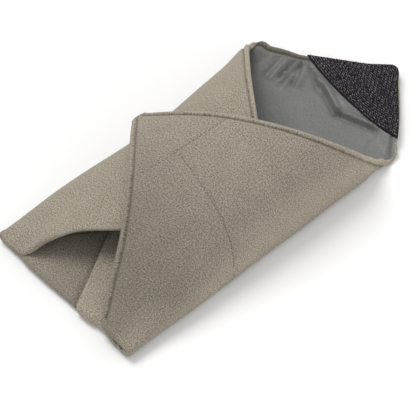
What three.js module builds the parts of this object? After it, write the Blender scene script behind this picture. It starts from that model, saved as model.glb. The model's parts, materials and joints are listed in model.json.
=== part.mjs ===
// A camera wrap: one square of quilted cloth, folded corner by corner round an open-ended hollow.
// Millimetres, +Z up. +Y points out of the mouth, +X to the flap that lies on top.
// The origin is on the resting face, in the middle of the base.
import * as THREE from 'three';

// The quilted cloth, from the fleece outside to the lining inside
const FLEECE = 0.9;
const FOAM = 1.1;
const LINING = 0.4;
const PLY_GAP = 0.3;
const QUILT = FLEECE + FOAM + LINING + 2 * PLY_GAP;

// The rolled edge sewn round the cloth
const WELT = 2.8;
const WELT_SIDES = 6;
const CORNER_RADIUS = 6;
const WELT_GAP = 0.5;
const CLOTH_INSET = WELT + WELT_GAP;

// The hook tape sewn across each corner, on the lining side
const HOOK_TAPE = 1.2;
const HOOK_TAPE_REACH = 39;
const HOOK_TAPE_MARGIN = 1.2;

// The base that the bundle rests on
const EAST_X = 62;
const WEST_X_SOUTH = -58;
const WEST_X_NORTH = -56;
const WEST_BOW = 4;
const SOUTH_Y = -107;
const NORTH_Y = 107;
const SIDE_FOLD_INSIDE = 3;
const SIDE_FOLD_RADIUS = QUILT + SIDE_FOLD_INSIDE;
const SOUTH_FOLD_INSIDE = 0.6;
const SOUTH_FOLD_RADIUS = QUILT + SOUTH_FOLD_INSIDE;
const FOLD_GAP = 0.3;
const BASE_SIDE = -1;

// The hollow: a rounded arch, low at the south fold and high towards the mouth
const SOUTH_ROOM = 2.3;
const CROWN_SOUTH = 2 * SOUTH_FOLD_RADIUS + QUILT + SOUTH_ROOM;
const CROWN_NORTH = 64.5;
const CROWN_RUN = 160;
const CROWN_START_SLOPE = 1.2;
const FOOT_SHOULDER = 0.4;
const EAST_SHOULDER = 0.75;
const WEST_SHOULDER = 1.4;
const LAP_GAP = 3;
const LAP = QUILT + LAP_GAP;
const LAP_START = 10;
const LAP_RUN = 35;

// The north corner, left open and lying on the floor in front of the mouth
const NORTH_REACH = 53;
const NORTH_TIP_X = 11;
const NORTH_WEST_INSET = 3;

// The east corner, folded over last, with its stiff tip standing off the cloth below
const EAST_NORTH_Y = 104;
const EAST_NORTH_SLOPE = 0.72;
const EAST_SOUTH_START = 34;
const EAST_SOUTH_SLOPE = 0.9;
const EAST_TIP_LIFT = 17;
const EAST_NORTH_BOW = 3;
const EAST_SOUTH_BOW = 6;

// The west corner, folded under the east one
const WEST_NORTH_Y = 106;
const WEST_NORTH_SLOPE = 0.68;
const WEST_SOUTH_START = 16;
const WEST_SOUTH_SLOPE = 0.8;

// The south corner, folded in first, flat on the base
const SOUTH_EAST_MARGIN = 10;
const SOUTH_EAST_X = EAST_X - SIDE_FOLD_RADIUS - SOUTH_EAST_MARGIN;
const SOUTH_WEST_MARGIN = 2;
const SOUTH_WEST_X = WEST_X_SOUTH + SIDE_FOLD_RADIUS + SOUTH_WEST_MARGIN;
const SOUTH_WEST_START = 12;
const SOUTH_REACH = 80;
const SOUTH_TIP_RISE = 5;

// How finely the curved faces are cut
const ARCH_STEPS = 240;
const FLAP_ROWS = 4;
const TAPE_ROWS = 4;
const TIP_ROWS = 3;
const BEND_ROWS = 2;
const FLAP_COLUMNS = 7;
const ROLL_ROWS = 3;
const BASE_ROWS = 6;
const BASE_COLUMNS = 4;
const SMALLEST_ROW = 0.9;
const NUDGE = 0.15;

const fleeceLook = { color: 0x9d9584, roughness: 0.95, metalness: 0 };
const foamLook = { color: 0xd9d4c8, roughness: 0.9, metalness: 0 };
const liningLook = { color: 0x80867f, roughness: 0.6, metalness: 0 };
const hookLook = { color: 0x29262a, roughness: 0.85, metalness: 0 };

const wrap = new THREE.Group();

function addPiece(name, geometry, look) {
  const piece = new THREE.Mesh(geometry, new THREE.MeshStandardMaterial(look));
  piece.name = name;
  wrap.add(piece);
}

// Runs from 0 to 1 with level ends.
function ease(x) {
  const p = Math.min(1, Math.max(0, x));
  return p * p * (3 - 2 * p);
}

// A bulge from 0 to 1 and back, level at both ends.
function hump(x) {
  const p = Math.min(1, Math.max(0, x));
  return 16 * p ** 2 * (1 - p) ** 2;
}

// The west fold, drawn in a little at the middle.
function westX(y) {
  const share = (y - SOUTH_Y) / (NORTH_Y - SOUTH_Y);
  return WEST_X_SOUTH + (WEST_X_NORTH - WEST_X_SOUTH) * share + WEST_BOW * (1 - (2 * share - 1) ** 2);
}

// Height of the west corner's outer face at the top of the arch.
function crownHeight(y) {
  const p = Math.min(1, Math.max(0, (y - SOUTH_Y) / CROWN_RUN));
  const climb = CROWN_START_SLOPE * p + (3 - 2 * CROWN_START_SLOPE) * p ** 2 + (CROWN_START_SLOPE - 2) * p ** 3;
  return CROWN_SOUTH + (CROWN_NORTH - CROWN_SOUTH) * climb;
}

// A point of a rounded arch that stands on the two side folds; turn runs from 0 in the east to pi in the west.
function archPoint(y, turn, eastX, archWestX, crown) {
  const middle = (EAST_X + westX(y)) / 2;
  const across = Math.cos(turn);
  const x = middle + across * (across > 0 ? eastX - middle : middle - archWestX);
  const shoulder = across > 0 ? EAST_SHOULDER : WEST_SHOULDER;
  const climb = Math.abs(Math.sin(turn));
  const foot = SIDE_FOLD_RADIUS + (CROWN_SOUTH - SIDE_FOLD_RADIUS) * climb ** FOOT_SHOULDER;
  return new THREE.Vector3(x, y, foot + (crown - CROWN_SOUTH) * climb ** shoulder);
}

function eastArch(y, share) {
  const turn = Math.PI * share;
  const lap = LAP * ease((y - SOUTH_Y - LAP_START) / LAP_RUN);
  const point = archPoint(y, turn, EAST_X, westX(y) - LAP, crownHeight(y) + lap);
  point.z += EAST_TIP_LIFT * Math.max(0, 2 * share - 1) ** 2;
  return point;
}

function westArch(y, share) {
  return archPoint(y, Math.PI * (1 - share), EAST_X - LAP, westX(y), crownHeight(y));
}

// The point that lies a length of cloth away from the side fold, along an arch.
function alongArch(arch, length, y) {
  let travelled = 0;
  let last = arch(y, 0);
  for (let i = 1; i <= ARCH_STEPS; i += 1) {
    const next = arch(y, i / ARCH_STEPS);
    const step = next.distanceTo(last);
    if (travelled + step >= length) {
      return last.lerp(next, (length - travelled) / step);
    }
    travelled += step;
    last = next;
  }
  return last;
}

// The south corner's outer face: round its fold, then rising a little to the tip.
function southPoint(length, x) {
  const quarter = (SOUTH_FOLD_RADIUS * Math.PI) / 2;
  const turn = Math.min(length, quarter) / SOUTH_FOLD_RADIUS;
  const run = Math.max(0, length - quarter);
  const y = SOUTH_Y + SOUTH_FOLD_RADIUS * (1 - Math.cos(turn)) + run;
  const z = SOUTH_FOLD_RADIUS * (1 + Math.sin(turn)) + SOUTH_TIP_RISE * (run / SOUTH_REACH) ** 2;
  return new THREE.Vector3(x, y, z);
}

function northPoint(length, x) {
  return new THREE.Vector3(x, NORTH_Y + length, 0);
}

// A corner of the cloth, measured out from its fold. High and low are its two edges along the fold.
const northHigh = EAST_X;
const northLow = WEST_X_NORTH + NORTH_WEST_INSET;
const corners = {
  north: {
    side: -1,
    point: northPoint,
    high: northHigh,
    highSlope: (northHigh - NORTH_TIP_X) / NORTH_REACH,
    low: northLow,
    lowSlope: (NORTH_TIP_X - northLow) / NORTH_REACH,
    lowStart: 0,
  },
  east: {
    side: 1,
    point: (length, y) => alongArch(eastArch, length, y),
    high: EAST_NORTH_Y,
    highSlope: EAST_NORTH_SLOPE,
    low: SOUTH_Y,
    lowSlope: EAST_SOUTH_SLOPE,
    lowStart: EAST_SOUTH_START,
    highBow: EAST_NORTH_BOW,
    lowBow: EAST_SOUTH_BOW,
  },
  west: {
    side: -1,
    point: (length, y) => alongArch(westArch, length, y),
    high: WEST_NORTH_Y,
    highSlope: WEST_NORTH_SLOPE,
    low: SOUTH_Y,
    lowSlope: WEST_SOUTH_SLOPE,
    lowStart: WEST_SOUTH_START,
  },
  south: {
    side: 1,
    point: southPoint,
    high: SOUTH_EAST_X,
    highSlope: SOUTH_EAST_X / SOUTH_REACH,
    low: SOUTH_WEST_X,
    lowSlope: -SOUTH_WEST_X / (SOUTH_REACH - SOUTH_WEST_START),
    lowStart: SOUTH_WEST_START,
  },
};

// The round at a corner's tip, which touches both edges.
function tipRound(corner) {
  const highLength = Math.hypot(1, corner.highSlope);
  const lowLength = Math.hypot(1, corner.lowSlope);
  const width = corner.high - corner.low + corner.lowSlope * corner.lowStart;
  const centre = (width - CORNER_RADIUS * (highLength + lowLength)) / (corner.highSlope + corner.lowSlope);
  const level = corner.high - corner.highSlope * centre - CORNER_RADIUS * highLength;
  return { centre, level, highLength, lowLength };
}

// The two ends of the corner's cloth at one distance from the fold, drawn in from the edges by an inset.
function cornerSpan(corner, length, inset) {
  const round = tipRound(corner);
  const radius = CORNER_RADIUS - inset;
  const bow = Math.sqrt(Math.max(0, radius ** 2 - (length - round.centre) ** 2));
  const highBow = (corner.highBow ?? 0) * hump(length / round.centre);
  const lowBow = (corner.lowBow ?? 0) * hump((length - corner.lowStart) / (round.centre - corner.lowStart));
  let high = corner.high - corner.highSlope * length - inset * round.highLength - highBow;
  let low = corner.low + corner.lowSlope * (length - corner.lowStart) + inset * round.lowLength + lowBow;
  if (length > round.centre + (radius * corner.highSlope) / round.highLength) {
    high = round.level + bow;
  }
  if (length > round.centre + (radius * corner.lowSlope) / round.lowLength) {
    low = round.level - bow;
  }
  return { high, low: Math.max(low, corner.low) };
}

// Where the hook tape's long side crosses a corner.
function tapeStart(corner) {
  return tipRound(corner).centre + CORNER_RADIUS - HOOK_TAPE_REACH;
}

function spaced(from, to, count) {
  return Array.from({ length: count }, (unused, i) => from + ((to - from) * (i + 1)) / count);
}

// Distances from the fold at which a corner's cloth is cut into rows, shared by all that is sewn to it.
function cornerRows(corner, start) {
  const round = tipRound(corner);
  const lowBend = corner.lowStart - (CLOTH_INSET * round.lowLength) / corner.lowSlope;
  const rows = [start];
  if (lowBend > start) {
    rows.push(...spaced(start, lowBend, BEND_ROWS));
  }
  rows.push(...spaced(rows[rows.length - 1], tapeStart(corner), FLAP_ROWS));
  rows.push(...spaced(tapeStart(corner), round.centre, TAPE_ROWS));
  return rows;
}

// Rows round the tip, up to a short last row.
function tipRows(corner, inset) {
  const { centre } = tipRound(corner);
  return spaced(centre, centre + (CORNER_RADIUS - inset) * SMALLEST_ROW, TIP_ROWS);
}

// The direction square to a corner's outer face, towards its lining.
function cornerInward(corner, length, level) {
  const outward = corner.point(length + NUDGE, level).sub(corner.point(length - NUDGE, level));
  const along = corner.point(length, level + NUDGE).sub(corner.point(length, level - NUDGE));
  return outward.cross(along).normalize().multiplyScalar(corner.side);
}

// The outer face of a corner's cloth as rows of points, each with its inward direction.
function cornerGrid(corner, rows, inset) {
  return [...rows, ...tipRows(corner, inset)].map((length) => {
    const span = cornerSpan(corner, length, inset);
    return [span.low, ...spaced(span.low, span.high, FLAP_COLUMNS)].map((level) => ({
      point: corner.point(length, level),
      inward: cornerInward(corner, length, level),
    }));
  });
}

// A sheet of even thickness: the outer grid, pushed inwards by two depths and closed round its rim.
// Side is 1 where the inward direction is down the rows crossed with along a row, and -1 where it is opposite.
function sheetGeometry(grid, side, outerDepth, innerDepth) {
  const rows = grid.length;
  const columns = grid[0].length;
  const positions = [];
  for (const depth of [outerDepth, innerDepth]) {
    for (const { point, inward } of grid.flat()) {
      positions.push(...point.clone().addScaledVector(inward, depth));
    }
  }
  const index = [];
  const inner = rows * columns;
  const at = (i, j) => i * columns + j;
  const quad = (a, b, c, d) => {
    const order = side > 0 ? [a, c, b, a, d, c] : [a, b, c, a, c, d];
    index.push(...order);
  };
  for (let i = 0; i + 1 < rows; i += 1) {
    for (let j = 0; j + 1 < columns; j += 1) {
      quad(at(i, j), at(i + 1, j), at(i + 1, j + 1), at(i, j + 1));
      quad(inner + at(i, j), inner + at(i, j + 1), inner + at(i + 1, j + 1), inner + at(i + 1, j));
    }
  }
  const rowSteps = [...Array(rows - 1).keys()];
  const columnSteps = [...Array(columns - 1).keys()];
  const rim = [
    ...columnSteps.map((j) => at(0, j)),
    ...rowSteps.map((i) => at(i, columns - 1)),
    ...columnSteps.map((j) => at(rows - 1, columns - 1 - j)),
    ...rowSteps.map((i) => at(rows - 1 - i, 0)),
  ];
  rim.forEach((from, k) => {
    const to = rim[(k + 1) % rim.length];
    quad(from, to, inner + to, inner + from);
  });
  const geometry = new THREE.BufferGeometry();
  geometry.setAttribute('position', new THREE.Float32BufferAttribute(positions, 3));
  geometry.setIndex(index);
  geometry.computeVertexNormals();
  return geometry;
}

// The three plies of the quilt over one grid.
function addQuilt(name, grid, side) {
  const foamTop = FLEECE + PLY_GAP;
  const liningTop = foamTop + FOAM + PLY_GAP;
  addPiece(`${name}_fleece`, sheetGeometry(grid, side, 0, FLEECE), fleeceLook);
  addPiece(`${name}_foam`, sheetGeometry(grid, side, foamTop, foamTop + FOAM), foamLook);
  addPiece(`${name}_lining`, sheetGeometry(grid, side, liningTop, QUILT), liningLook);
}

// A round cord along a line of points, with closed ends; each point has the cloth's normal beside it.
function cordGeometry(points, normals, radius) {
  const positions = [];
  const index = [];
  points.forEach((point, i) => {
    const ahead = points[Math.min(i + 1, points.length - 1)].clone().sub(points[Math.max(i - 1, 0)]);
    const sideways = ahead.cross(normals[i]).normalize();
    for (let k = 0; k < WELT_SIDES; k += 1) {
      const angle = (2 * Math.PI * (k + 0.5)) / WELT_SIDES;
      const placed = point.clone();
      placed.addScaledVector(normals[i], radius * Math.cos(angle));
      placed.addScaledVector(sideways, radius * Math.sin(angle));
      positions.push(placed.x, placed.y, placed.z);
    }
  });
  const at = (i, k) => i * WELT_SIDES + (k % WELT_SIDES);
  const last = points.length - 1;
  for (let i = 0; i < last; i += 1) {
    for (let k = 0; k < WELT_SIDES; k += 1) {
      index.push(at(i, k), at(i, k + 1), at(i + 1, k + 1), at(i, k), at(i + 1, k + 1), at(i + 1, k));
    }
  }
  for (let k = 1; k + 1 < WELT_SIDES; k += 1) {
    index.push(at(0, 0), at(0, k + 1), at(0, k), at(last, 0), at(last, k), at(last, k + 1));
  }
  const geometry = new THREE.BufferGeometry();
  geometry.setAttribute('position', new THREE.Float32BufferAttribute(positions, 3));
  geometry.setIndex(index);
  geometry.computeVertexNormals();
  return geometry;
}

// The rolled edge, up one side of a corner, round its tip and back down the other side.
function addWelt(name, corner) {
  const inset = WELT / 2;
  const round = tipRound(corner);
  const rows = [...cornerRows(corner, WELT), ...tipRows(corner, inset)];
  const stops = rows.map((length) => [length, cornerSpan(corner, length, inset).high]);
  stops.push([round.centre + CORNER_RADIUS - inset, round.level]);
  const lowEnd = Math.max(WELT, corner.lowStart - (inset * round.lowLength) / corner.lowSlope);
  for (const length of [...rows.filter((row) => row > lowEnd).reverse(), lowEnd]) {
    stops.push([length, cornerSpan(corner, length, inset).low]);
  }
  const inwards = stops.map(([length, level]) => cornerInward(corner, length, level));
  const points = stops.map(([length, level], i) => (
    corner.point(length, level).addScaledVector(inwards[i], QUILT / 2)
  ));
  addPiece(`${name}_welt`, cordGeometry(points, inwards, WELT / 2), fleeceLook);
}

// The hook tape, a triangle across the corner on the face of the lining.
function addHookTape(name, corner) {
  const rows = [tapeStart(corner), ...spaced(tapeStart(corner), tipRound(corner).centre, TAPE_ROWS)];
  const grid = cornerGrid(corner, rows, CLOTH_INSET + HOOK_TAPE_MARGIN);
  const face = QUILT + PLY_GAP;
  addPiece(`${name}_hook_tape`, sheetGeometry(grid, corner.side, face, face + HOOK_TAPE), hookLook);
}

function addCorner(name) {
  const corner = corners[name];
  addQuilt(name, cornerGrid(corner, cornerRows(corner, FOLD_GAP / 2), CLOTH_INSET), corner.side);
  addWelt(name, corner);
  addHookTape(name, corner);
}

// The base: flat below, rolled up at both side folds, and up to the middle of the south fold.
function baseGrid() {
  const quarter = Math.PI / 2;
  const turns = [0, ...spaced(0, 1, ROLL_ROWS)];
  const lastTurn = quarter - FOLD_GAP / 2 / SIDE_FOLD_RADIUS;
  const columns = [
    ...turns.map((share) => ({ side: -1, turn: lastTurn * (1 - share) })),
    ...[0, ...spaced(0, 1, BASE_COLUMNS)].map((share) => ({ side: 0, share })),
    ...turns.map((share) => ({ side: 1, turn: lastTurn * share })),
  ];
  const flatStart = SOUTH_Y + SOUTH_FOLD_RADIUS;
  const southTurn = quarter - FOLD_GAP / 2 / SOUTH_FOLD_RADIUS;
  const rows = [
    ...turns.map((share) => {
      const turn = southTurn * (1 - share);
      return { y: flatStart - SOUTH_FOLD_RADIUS * Math.sin(turn), turn };
    }),
    ...spaced(flatStart, NORTH_Y - FOLD_GAP / 2, BASE_ROWS).map((y) => ({ y, turn: 0 })),
  ];
  return rows.map((row) => columns.map(({ side, share, turn }) => {
    if (side === 0) {
      const flatWest = westX(row.y) + SIDE_FOLD_RADIUS + SOUTH_WEST_MARGIN;
      const x = flatWest + (SOUTH_EAST_X - flatWest) * share;
      return {
        point: new THREE.Vector3(x, row.y, SOUTH_FOLD_RADIUS * (1 - Math.cos(row.turn))),
        inward: new THREE.Vector3(0, Math.sin(row.turn), Math.cos(row.turn)),
      };
    }
    const edge = side > 0 ? EAST_X : westX(row.y);
    const reach = SIDE_FOLD_RADIUS * (1 - Math.sin(turn));
    return {
      point: new THREE.Vector3(edge - side * reach, row.y, SIDE_FOLD_RADIUS * (1 - Math.cos(turn))),
      inward: new THREE.Vector3(-side * Math.sin(turn), 0, Math.cos(turn)),
    };
  }));
}

addQuilt('base', baseGrid(), BASE_SIDE);
addCorner('north');
addCorner('east');
addCorner('west');
addCorner('south');

export default wrap;
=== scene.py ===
"""A camera wrap: a square of quilted cloth, fleece outside and nylon inside, folded round an open hollow.

Shapes are worked out in millimetres, in the frame's own axes, and put into Blender in metres.
A place on the cloth is given by its length out from a fold and its level along that fold.
"""
import json
import math
from types import SimpleNamespace

import bpy
import numpy as np
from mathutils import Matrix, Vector


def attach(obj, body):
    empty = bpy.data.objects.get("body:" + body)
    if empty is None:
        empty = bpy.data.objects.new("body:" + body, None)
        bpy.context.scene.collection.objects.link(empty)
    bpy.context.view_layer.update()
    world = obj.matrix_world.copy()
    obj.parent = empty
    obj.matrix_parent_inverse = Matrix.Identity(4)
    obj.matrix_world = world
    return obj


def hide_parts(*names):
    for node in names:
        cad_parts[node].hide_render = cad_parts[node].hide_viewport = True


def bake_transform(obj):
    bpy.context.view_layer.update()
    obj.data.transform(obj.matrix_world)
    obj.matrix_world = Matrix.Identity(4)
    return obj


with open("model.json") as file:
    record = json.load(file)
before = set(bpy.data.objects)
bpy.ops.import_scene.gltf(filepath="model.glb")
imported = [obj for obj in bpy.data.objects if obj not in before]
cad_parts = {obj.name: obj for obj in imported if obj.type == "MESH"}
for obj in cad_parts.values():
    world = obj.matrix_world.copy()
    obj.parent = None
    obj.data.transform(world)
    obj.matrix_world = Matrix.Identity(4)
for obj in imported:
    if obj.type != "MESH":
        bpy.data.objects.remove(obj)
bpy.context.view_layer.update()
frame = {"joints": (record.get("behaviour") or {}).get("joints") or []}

MM = 0.001
folds = {joint["name"]: Vector(joint["pos_m"]) / MM for joint in frame["joints"]}

# The cloth and its folds, from the frame
QUILT = folds["north_fold"].z
EAST_X = folds["east_fold"].x
WEST_X_SOUTH = folds["west_fold"].x
SOUTH_Y = folds["south_fold"].y
NORTH_Y = folds["north_fold"].y
SIDE_RADIUS = folds["east_fold"].z
SOUTH_RADIUS = folds["south_fold"].z
SOUTH_OVERHANG = 1.95
SOUTH_EDGE = SOUTH_Y - SOUTH_OVERHANG
SOUTH_RETREAT = 2
EAST_PAST_SOUTH = 0.2
WEST_SHORT_OF_SOUTH = 1.1
WEST_DRIFT = 2
WEST_BOW = 4
SIDE_ROLL = SIDE_RADIUS * math.pi / 2
NORTH_EAST_X = 62.6
NORTH_WEST_X = -54.5
NORTH_TIP_X = 13.6
NORTH_REACH = 51.5

# The hollow: a rounded arch, low at the south fold and high towards the mouth
CROWN_SPARE = 2.3
CROWN_SOUTH = 2 * SOUTH_RADIUS + QUILT + CROWN_SPARE
CROWN_NORTH = 64.5
CROWN_RUN = 160
CROWN_START_SLOPE = 1.2
FOOT_SHOULDER = 0.4
EAST_SHOULDER = 0.75
WEST_SHOULDER = 1.4
LAP_GAP = 3
LAP = QUILT + LAP_GAP
LAP_START = 10
LAP_RUN = 35
EAST_TIP_LIFT = 17
ARCH_STEPS = 160
POINTS_AT_ONCE = 4000
SOUTH_REACH = 80
SOUTH_TIP_RISE = 5
SOUTH_EASE = 6
SOUTH_WEST_X = -50
SOUTH_START = 12
CREASE_FOLD_X = 14.5
CREASE_TIP_X = -12
CREASE_LENGTH = 52
CREASE_SINK = 1.1
CREASE_BAND = 30
CREASE_EDGE = 2

# The west fold rises where it meets the mouth: place, height, reach and the level at which the rise ends
LIFTS = (((-56, 108), 4.8, 27, 14), ((-57.5, 101.5), 4.6, 11, 30))
# The other places where the folds give way: lifted, squared, pressed, swollen, drawn in or tucked in
NORTH_EDGE_LIFT = 3
NORTH_EDGE_BAND = 30
NORTH_EDGE_RUN = 14
MOUTH_SQUARE = 0.5
SQUARE_FROM = 22
SQUARE_RUN = 20
PRESS = 3.5
WEST_SWELL = 6
SWELL_X = -18
SWELL_WIDTH = 22
EAST_WAIST = 1.8
TUCK_WEST_SHARE = 0.6

# Waves and ends of the west fold: height, start and run
WEST_WAVES = ((2.4, -50, 145), (-1.3, -108, 100))
WEST_ENDS = ((1.8, 66, 26), (0.9, -95, -12))

# Where something sets in along an axis, and the run over which it grows, backwards if it is negative
PRESS_ACROSS = (-28, -12)
PRESS_ALONG = (-95, -11)
PRESS_FROM = 4.8
PRESS_RUN = 6
SWELL_ACROSS = (-42, 12)
SWELL_ALONG = (-52, -32)
WAIST_ALONG = (84, 26)
WAIST_ACROSS = (44, 18)
THIN_EAST = (38, 12)
THIN_WEST = (-32, -10)
TUCK_EAST = (24, 7)
TUCK_EAST_END = (47, -12)
TUCK_WEST = (-30, -10)
CREASE_FADE = (-5, 8)

# How far the pieces of the side corners reach over the flat base
EAST_MARGIN = 2
WEST_MARGIN = 7

# The rolled edge and the ends where the cloth is folded double
CORNER_RADIUS = 6
ROLL = 1.65
GROOVE = 1.05
GROOVE_AT = 3.3
SHOULDER_END = 5.0
DOUBLE_END = 4.8
DOUBLE_FROM = 24
DOUBLE_RUN = 18
CUT_RUN = 3
ROLL_OVERLAP = 0.1
LINING = 0.35
BACKING = 0.5
OUTER_STATIONS = (5.2, 4.6, 4.1, 3.7, 3.4, 3.1, 2.8, 2.4, 1.9, 1.4, 0.9, 0.5, 0.2, 0.0)
INNER_STATIONS = (0.2, 0.5, 0.9, 1.4, 1.9, 2.4, 2.8, 3.1, 3.3)
BACK_STATIONS = 3
LINING_COVER = 0.12
COVER_EASE = 0.3

# The net of points, and the lengths over which its rows turn at the folds
STEP = 1.1
TIP_FAN = 10
NORTH_ROWS = 50
FOLD_NEAR = 6
FOLD_TURN = 9
BEND_SOFT = 3
MOUTH_TURN = 4
SHARP_ANGLE = 55
PROBE_STEP = 0.5
# Steps out from the panel that the lining covers: to the groove, or over the roll on a corner's east edge
GROOVE_STEPS = 5
OVER_ROLL_STEPS = {"north": 11}

# Sewn grooves on the flat cloth: start, end, depth, width and, where it changes, the depth at the end
GROOVES = {
    "east": (((98, -36), (98, 27), 0.45, 1.0), ((97, -11), (2, -24), 0.4, 1.5, 1.3)),
    "west": (((100, 2), (2, 2), 0.5, 1.5, 1.2),),
    "north": (((36, 10), (-200, 0), 0.25, 1.2),),
}
PINCH = 0.2
# Slow waves of the fleece and of the lining: reach and height
SOFTNESS = {"east": (30, 0.16), "west": (34, 0.2), "south": (26, 0.12), "north": (30, 0)}
LINING_SOFTNESS = (14, 0.07)
NORTH_LINING_SOFTNESS = (13, 0.07)
# Each wave: share, turn along the length, turn along the level, and shift
WAVES = ((1, 2.1, 1.3, 0.4), (1, -1.4, 2.3, 1.9), (0.6, 3.7, 0.9, 5.1), (0.6, 0.8, -4.1, 2.6))

# The south corner's crease: a raised side, a sunken side and a groove between them
CREASE_LINE = ((-4, CREASE_FOLD_X + 1.5), (CREASE_LENGTH, CREASE_TIP_X))
CREASE_STEP = 2.2
CREASE_SHIFT = 0.3
CREASE_RAISED = 1.5
RAISED_RUN = 24
SUNK_BAND = 28
CREASE_GROOVE = 0.9
CREASE_GROOVE_AT = -1
CREASE_GROOVE_WIDTH = 1.3

# Creases of the lining in front of the mouth: start, end, height and width
LINING_CREASES = (
    ((-1, 12), (7, -11), 2.6, 1.6),
    ((9, 38), (-1, 12), 2.4, 1.6),
    ((3, -8), (14, -28), 2.0, 1.4),
    ((-6, -22), (13, -31), 2.2, 1.7),
    ((-8, -32), (12, -35), 1.9, 1.5),
    ((-14, -38), (6, -42), 1.6, 1.8),
    ((-12, -27), (10, -30), 1.2, 1.2),
    ((4, 16), (9, 2), 0.5, 1.5),
)
RIDGE_AT = 2.1
RIDGE_WIDTH = 1.5
CREASE_REACH = 5
CREASE_ENDS = 4
CREASE_END_SHARE = 0.6
LINING_SEAM = ((13, 38), (-6, 45))
LINING_SEAM_DEPTH = 0.5
LINING_SEAM_WIDTH = 0.7
TAPE_MIDDLE = 10
TAPE_HALF = 41
TAPE_CLEAR = 3

# Painted light and shade in the fleece's colour, as shares of its plain tone: a painted highlight on the
# rolled edge, painted shade in its groove, and on the south corner painted light on the raised side and
# painted shade behind the crease
ROLL_HIGHLIGHT = 0.1
ROLL_HIGHLIGHT_SPAN = (2.0, 0.9)
GROOVE_SHADE = 0.25
GROOVE_SHADE_WIDTH = 0.7
SOUTH_PAINTED_LIGHT = 1.07
BEHIND_CREASE = 1.5
BEHIND_CREASE_SHADE = 0.22
BEHIND_SHADE_FADES = ((0.1, 12), (0.25, 1.5))
# Painted light and shade, and darker edges: share, then each measure that it goes by, with a start and a
# run. In the east, painted shade darker towards the south and painted light near the fold; in the west and
# north, darker along the edge
PAINTED_LIGHT_AND_EDGE_DARKS = {
    # Painted shade, darker towards the south end, then painted light near the fold
    "east": (
        (-0.31, ("level", 20, -100), ("length", 2, 24)),
        (0.2, ("length", -4, 8), ("length", 44, -30), ("level", -75, 40)),
    ),
    # Darker along the edge: the west corner's near the mouth, the north corner's on its west side
    "west": ((-0.45, ("inset", 4, -1.2), ("length", 2.5, -4), ("level", 85, 10)),),
    "north": ((-0.5, ("inset", 4, -1.2), ("level", 6, -8)),),
}

# The hook tape
TAPE_THICK = 1.1
TAPE_GAP = 0.2
TAPE_FACE = QUILT + TAPE_GAP
TAPE_MARGIN = 0.3
TAPE_ROUND = 0.5
TAPE_FIRST_ROWS = (0.15, 0.35)
TAPE_TIP_SHARE = 0.97
TAPE_FOLLOW = 1.5
TAPE_NARROWEST = 0.1
HOOK_PITCH = 1.5
HOOK_HEIGHT = 1.1
HOOK_RADIUS = 0.27
HOOK_ROW = 1.2
HOOK_INSET = 0.9
HOOK_STAGGER = 3
HOOK_JITTER = 0.12
HOOK_TURN = 0.7
HOOK_TALL = (0.85, 1.1)
HOOK_SINK = 0.1
HOOK_SIDES = 5
HOOK_SEED = 4
# Rings of a hook from its foot to its tip: rise, reach, thickness and tilt
HOOK_PROFILE = (
    (0, 0, 1.1, 0), (0.55, 0.05, 1, 0.2), (0.85, 0.2, 0.95, 0.9),
    (0.95, 0.42, 0.85, 1.6), (0.8, 0.58, 0.6, 2.6),
)

# Stitches
STITCH_PITCH = 2.8
STITCH_LENGTH = 2.1
STITCH_RADIUS = 0.3
STITCH_SIDES = 6
STITCH_RINGS = (-1, -0.75, 0, 0.75, 1)
STITCH_END = 0.02
STITCH_LIFT = 0.5
STITCH_DIP = 0.9
STITCH_LOOK = 0.3
SEAM_STATION = 3.4
FOLDED = 0.9

# Floor and light
WHITE = (1, 1, 1)
FLOOR_SIZE = 30
FLOOR_Z = -0.0004
FLOOR_LIFT = 0.06
FLOOR_TONE = 0.95
SKY_STRENGTH = 0.47
# Each light: its strength, its softness in degrees and the direction that it comes from
LIGHTS = {"key": (1.5, 30, Vector((-0.64, 0.02, 1.15))), "fill": (0.6, 120, Vector((0.6, 0.45, 0.8)))}

# The camera, which stands far off, so that near and far parts look alike in size
VIEW_FROM = Vector((0.4263, -0.3881, 0.8170))
VIEW_TARGET = Vector((27.6, -11.7, 30.0)) * MM
VIEW_DISTANCE = 10
VIEW_WIDTH = 255.3 * MM
SENSOR = 36.0
VIEW_END = 100


def ease(x):
    p = np.clip(x, 0, 1)
    return p * p * (3 - 2 * p)


def grown(x, start, run):
    """0 up to a start, then growing to 1 over a run."""
    return ease((x - start) / run)


def hump(x, start, run):
    """Rises from 0 at a start to 1 half way along a run, and falls again."""
    p = np.clip((x - start) / run, 0, 1)
    return 16 * p**2 * (1 - p) ** 2


def bell(x, width):
    return np.exp(-((x / width) ** 2))


def unit(ways):
    return ways / np.linalg.norm(ways, axis=1, keepdims=True)


# The shape of the folded cloth

def west_x(y):
    share = (y - SOUTH_Y) / (NORTH_Y - SOUTH_Y)
    straight = WEST_X_SOUTH + WEST_DRIFT * share
    uneven = sum(height * hump(y, *span) for height, *span in WEST_WAVES)
    ends = sum(height * grown(y, *span) for height, *span in WEST_ENDS)
    return straight + WEST_BOW * (1 - (2 * share - 1) ** 2) + uneven - ends


def east_x(y):
    return np.full_like(y, EAST_X)


def crown_height(y):
    p = np.clip((y - SOUTH_Y) / CROWN_RUN, 0, 1)
    climb = CROWN_START_SLOPE * p + (3 - 2 * CROWN_START_SLOPE) * p**2 + (CROWN_START_SLOPE - 2) * p**3
    return CROWN_SOUTH + (CROWN_NORTH - CROWN_SOUTH) * climb


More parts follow.
